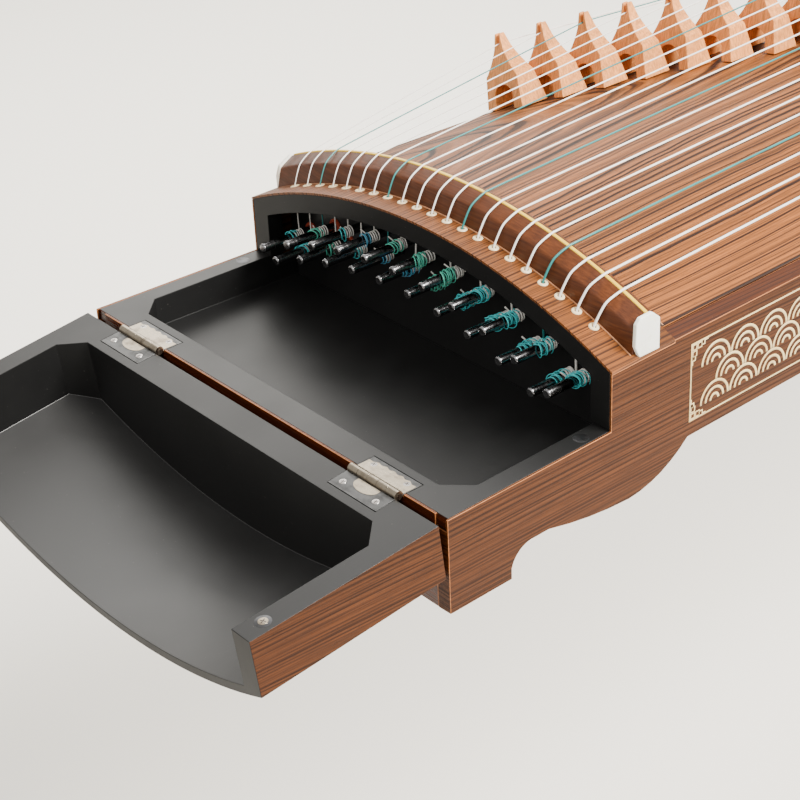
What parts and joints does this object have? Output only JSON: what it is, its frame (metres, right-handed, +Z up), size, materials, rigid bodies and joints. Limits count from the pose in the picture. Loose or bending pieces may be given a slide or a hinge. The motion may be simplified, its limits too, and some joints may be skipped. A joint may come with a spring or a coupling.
{
  "type": "guzheng",
  "caption": "Long zither with an arched soundboard, movable bridges, tuning pins in a head box and a hinged lid that hangs open.",
  "frame": {"origin": "under the middle of the head rest bar, on the plane the two rest bars stand on", "axes": "+X along the body from head to tail, +Y to the treble side, +Z up"},
  "size_m": [1.763, 0.35, 0.2189],
  "materials": {
    "side_wood": "satin walnut brown",
    "end_wood": "satin reddish brown",
    "black_lacquer": "satin black lacquer over wood",
    "lid_lacquer": "satin black inside, walnut outside",
    "board_wood": "roasted paulownia with straight dark grain",
    "block_wood": "plain hardwood",
    "nut_wood": "polished hardwood",
    "back_wood": "plain paulownia",
    "tail_wood": "satin walnut brown",
    "brace_wood": "raw wood",
    "string_white": "nylon winding, white or green",
    "hinge_steel": "bright plated steel",
    "pin_steel": "dark polished steel",
    "bridge_wood": "polished light hardwood"
  },
  "bodies": {
    "case": {"near_side_board": "side_wood", "far_side_board": "side_wood", "head_end_board": "end_wood", "string_box": "black_lacquer", "riser_panel": "black_lacquer", "head_board": "board_wood", "pin_block": "block_wood", "front_nut": "nut_wood", "soundboard": "board_wood", "back_board": "back_wood", "rear_nut": "nut_wood", "tail_block": "tail_wood", "arch_braces": "brace_wood", "rest_bars": "black_lacquer", "strings": "string_white", "box_hinge_leaves": "hinge_steel"},
    "lid": {"lid_shell": "lid_lacquer", "lid_hinge_leaves": "hinge_steel"},
    "pin_01": {"tuning_pin_01": "pin_steel"},
    "pin_02": {"tuning_pin_02": "pin_steel"},
    "pin_03": {"tuning_pin_03": "pin_steel"},
    "pin_04": {"tuning_pin_04": "pin_steel"},
    "pin_05": {"tuning_pin_05": "pin_steel"},
    "pin_06": {"tuning_pin_06": "pin_steel"},
    "pin_07": {"tuning_pin_07": "pin_steel"},
    "pin_08": {"tuning_pin_08": "pin_steel"},
    "pin_09": {"tuning_pin_09": "pin_steel"},
    "pin_10": {"tuning_pin_10": "pin_steel"},
    "pin_11": {"tuning_pin_11": "pin_steel"},
    "pin_12": {"tuning_pin_12": "pin_steel"},
    "pin_13": {"tuning_pin_13": "pin_steel"},
    "pin_14": {"tuning_pin_14": "pin_steel"},
    "pin_15": {"tuning_pin_15": "pin_steel"},
    "pin_16": {"tuning_pin_16": "pin_steel"},
    "pin_17": {"tuning_pin_17": "pin_steel"},
    "pin_18": {"tuning_pin_18": "pin_steel"},
    "pin_19": {"tuning_pin_19": "pin_steel"},
    "pin_20": {"tuning_pin_20": "pin_steel"},
    "pin_21": {"tuning_pin_21": "pin_steel"},
    "bridge_01_body": {"bridge_01": "bridge_wood"},
    "bridge_02_body": {"bridge_02": "bridge_wood"},
    "bridge_03_body": {"bridge_03": "bridge_wood"},
    "bridge_04_body": {"bridge_04": "bridge_wood"},
    "bridge_05_body": {"bridge_05": "bridge_wood"},
    "bridge_06_body": {"bridge_06": "bridge_wood"},
    "bridge_07_body": {"bridge_07": "bridge_wood"},
    "bridge_08_body": {"bridge_08": "bridge_wood"},
    "bridge_09_body": {"bridge_09": "bridge_wood"},
    "bridge_10_body": {"bridge_10": "bridge_wood"},
    "bridge_11_body": {"bridge_11": "bridge_wood"},
    "bridge_12_body": {"bridge_12": "bridge_wood"},
    "bridge_13_body": {"bridge_13": "bridge_wood"},
    "bridge_14_body": {"bridge_14": "bridge_wood"},
    "bridge_15_body": {"bridge_15": "bridge_wood"},
    "bridge_16_body": {"bridge_16": "bridge_wood"},
    "bridge_17_body": {"bridge_17": "bridge_wood"},
    "bridge_18_body": {"bridge_18": "bridge_wood"},
    "bridge_19_body": {"bridge_19": "bridge_wood"},
    "bridge_20_body": {"bridge_20": "bridge_wood"},
    "bridge_21_body": {"bridge_21": "bridge_wood"}
  },
  "joints": [
    {"name": "lid_hinge", "type": "hinge", "parent": "case", "child": "lid", "pos_m": [-0.0322, 0, 0.0629], "axis": [0, 1, 0], "range_deg": [0, 186.3]},
    {"name": "pin_01_turn", "type": "hinge", "parent": "case", "child": "pin_01", "pos_m": [0.12, 0.137, 0.08137], "axis": [1, 0, 0], "continuous": true, "deforming": ["strings"]},
    {"name": "pin_02_turn", "type": "hinge", "parent": "case", "child": "pin_02", "pos_m": [0.12, 0.1233, 0.07654], "axis": [1, 0, 0], "continuous": true, "deforming": ["strings"]},
    {"name": "pin_03_turn", "type": "hinge", "parent": "case", "child": "pin_03", "pos_m": [0.12, 0.1096, 0.09295], "axis": [1, 0, 0], "continuous": true, "deforming": ["strings"]},
    {"name": "pin_04_turn", "type": "hinge", "parent": "case", "child": "pin_04", "pos_m": [0.12, 0.0959, 0.08665], "axis": [1, 0, 0], "continuous": true, "deforming": ["strings"]},
    {"name": "pin_05_turn", "type": "hinge", "parent": "case", "child": "pin_05", "pos_m": [0.12, 0.0822, 0.10166], "axis": [1, 0, 0], "continuous": true, "deforming": ["strings"]},
    {"name": "pin_06_turn", "type": "hinge", "parent": "case", "child": "pin_06", "pos_m": [0.12, 0.0685, 0.09401], "axis": [1, 0, 0], "continuous": true, "deforming": ["strings"]},
    {"name": "pin_07_turn", "type": "hinge", "parent": "case", "child": "pin_07", "pos_m": [0.12, 0.0548, 0.10773], "axis": [1, 0, 0], "continuous": true, "deforming": ["strings"]},
    {"name": "pin_08_turn", "type": "hinge", "parent": "case", "child": "pin_08", "pos_m": [0.12, 0.0411, 0.09882], "axis": [1, 0, 0], "continuous": true, "deforming": ["strings"]},
    {"name": "pin_09_turn", "type": "hinge", "parent": "case", "child": "pin_09", "pos_m": [0.12, 0.0274, 0.11131], "axis": [1, 0, 0], "continuous": true, "deforming": ["strings"]},
    {"name": "pin_10_turn", "type": "hinge", "parent": "case", "child": "pin_10", "pos_m": [0.12, 0.0137, 0.1012], "axis": [1, 0, 0], "continuous": true, "deforming": ["strings"]},
    {"name": "pin_11_turn", "type": "hinge", "parent": "case", "child": "pin_11", "pos_m": [0.12, 0, 0.1125], "axis": [1, 0, 0], "continuous": true, "deforming": ["strings"]},
    {"name": "pin_12_turn", "type": "hinge", "parent": "case", "child": "pin_12", "pos_m": [0.12, -0.0137, 0.1012], "axis": [1, 0, 0], "continuous": true, "deforming": ["strings"]},
    {"name": "pin_13_turn", "type": "hinge", "parent": "case", "child": "pin_13", "pos_m": [0.12, -0.0274, 0.11131], "axis": [1, 0, 0], "continuous": true, "deforming": ["strings"]},
    {"name": "pin_14_turn", "type": "hinge", "parent": "case", "child": "pin_14", "pos_m": [0.12, -0.0411, 0.09882], "axis": [1, 0, 0], "continuous": true, "deforming": ["strings"]},
    {"name": "pin_15_turn", "type": "hinge", "parent": "case", "child": "pin_15", "pos_m": [0.12, -0.0548, 0.10773], "axis": [1, 0, 0], "continuous": true, "deforming": ["strings"]},
    {"name": "pin_16_turn", "type": "hinge", "parent": "case", "child": "pin_16", "pos_m": [0.12, -0.0685, 0.09401], "axis": [1, 0, 0], "continuous": true, "deforming": ["strings"]},
    {"name": "pin_17_turn", "type": "hinge", "parent": "case", "child": "pin_17", "pos_m": [0.12, -0.0822, 0.10166], "axis": [1, 0, 0], "continuous": true, "deforming": ["strings"]},
    {"name": "pin_18_turn", "type": "hinge", "parent": "case", "child": "pin_18", "pos_m": [0.12, -0.0959, 0.08665], "axis": [1, 0, 0], "continuous": true, "deforming": ["strings"]},
    {"name": "pin_19_turn", "type": "hinge", "parent": "case", "child": "pin_19", "pos_m": [0.12, -0.1096, 0.09295], "axis": [1, 0, 0], "continuous": true, "deforming": ["strings"]},
    {"name": "pin_20_turn", "type": "hinge", "parent": "case", "child": "pin_20", "pos_m": [0.12, -0.1233, 0.07654], "axis": [1, 0, 0], "continuous": true, "deforming": ["strings"]},
    {"name": "pin_21_turn", "type": "hinge", "parent": "case", "child": "pin_21", "pos_m": [0.12, -0.137, 0.08137], "axis": [1, 0, 0], "continuous": true, "deforming": ["strings"]},
    {"name": "bridge_01_slide", "type": "slide", "parent": "case", "child": "bridge_01_body", "axis": [1, 0, 0], "range_m": [-0.0033, 0.0033], "deforming": ["strings"]},
    {"name": "bridge_02_slide", "type": "slide", "parent": "case", "child": "bridge_02_body", "axis": [1, 0, 0], "range_m": [-0.0033, 0.0033], "deforming": ["strings"]},
    {"name": "bridge_03_slide", "type": "slide", "parent": "case", "child": "bridge_03_body", "axis": [1, 0, 0], "range_m": [-0.0043, 0.0043], "deforming": ["strings"]},
    {"name": "bridge_04_slide", "type": "slide", "parent": "case", "child": "bridge_04_body", "axis": [1, 0, 0], "range_m": [-0.0054, 0.0054], "deforming": ["strings"]},
    {"name": "bridge_05_slide", "type": "slide", "parent": "case", "child": "bridge_05_body", "axis": [1, 0, 0], "range_m": [-0.0066, 0.0066], "deforming": ["strings"]},
    {"name": "bridge_06_slide", "type": "slide", "parent": "case", "child": "bridge_06_body", "axis": [1, 0, 0], "range_m": [-0.0076, 0.0076], "deforming": ["strings"]},
    {"name": "bridge_07_slide", "type": "slide", "parent": "case", "child": "bridge_07_body", "axis": [1, 0, 0], "range_m": [-0.0087, 0.0087], "deforming": ["strings"]},
    {"name": "bridge_08_slide", "type": "slide", "parent": "case", "child": "bridge_08_body", "axis": [1, 0, 0], "range_m": [-0.0099, 0.0099], "deforming": ["strings"]},
    {"name": "bridge_09_slide", "type": "slide", "parent": "case", "child": "bridge_09_body", "axis": [1, 0, 0], "range_m": [-0.01, 0.01], "deforming": ["strings"]},
    {"name": "bridge_10_slide", "type": "slide", "parent": "case", "child": "bridge_10_body", "axis": [1, 0, 0], "range_m": [-0.01, 0.01], "deforming": ["strings"]},
    {"name": "bridge_11_slide", "type": "slide", "parent": "case", "child": "bridge_11_body", "axis": [1, 0, 0], "range_m": [-0.01, 0.01], "deforming": ["strings"]},
    {"name": "bridge_12_slide", "type": "slide", "parent": "case", "child": "bridge_12_body", "axis": [1, 0, 0], "range_m": [-0.01, 0.01], "deforming": ["strings"]},
    {"name": "bridge_13_slide", "type": "slide", "parent": "case", "child": "bridge_13_body", "axis": [1, 0, 0], "range_m": [-0.01, 0.01], "deforming": ["strings"]},
    {"name": "bridge_14_slide", "type": "slide", "parent": "case", "child": "bridge_14_body", "axis": [1, 0, 0], "range_m": [-0.01, 0.01], "deforming": ["strings"]},
    {"name": "bridge_15_slide", "type": "slide", "parent": "case", "child": "bridge_15_body", "axis": [1, 0, 0], "range_m": [-0.01, 0.01], "deforming": ["strings"]},
    {"name": "bridge_16_slide", "type": "slide", "parent": "case", "child": "bridge_16_body", "axis": [1, 0, 0], "range_m": [-0.01, 0.01], "deforming": ["strings"]},
    {"name": "bridge_17_slide", "type": "slide", "parent": "case", "child": "bridge_17_body", "axis": [1, 0, 0], "range_m": [-0.01, 0.01], "deforming": ["strings"]},
    {"name": "bridge_18_slide", "type": "slide", "parent": "case", "child": "bridge_18_body", "axis": [1, 0, 0], "range_m": [-0.01, 0.01], "deforming": ["strings"]},
    {"name": "bridge_19_slide", "type": "slide", "parent": "case", "child": "bridge_19_body", "axis": [1, 0, 0], "range_m": [-0.01, 0.01], "deforming": ["strings"]},
    {"name": "bridge_20_slide", "type": "slide", "parent": "case", "child": "bridge_20_body", "axis": [1, 0, 0], "range_m": [-0.01, 0.01], "deforming": ["strings"]},
    {"name": "bridge_21_slide", "type": "slide", "parent": "case", "child": "bridge_21_body", "axis": [1, 0, 0], "range_m": [-0.01, 0.01], "deforming": ["strings"]}
  ]
}
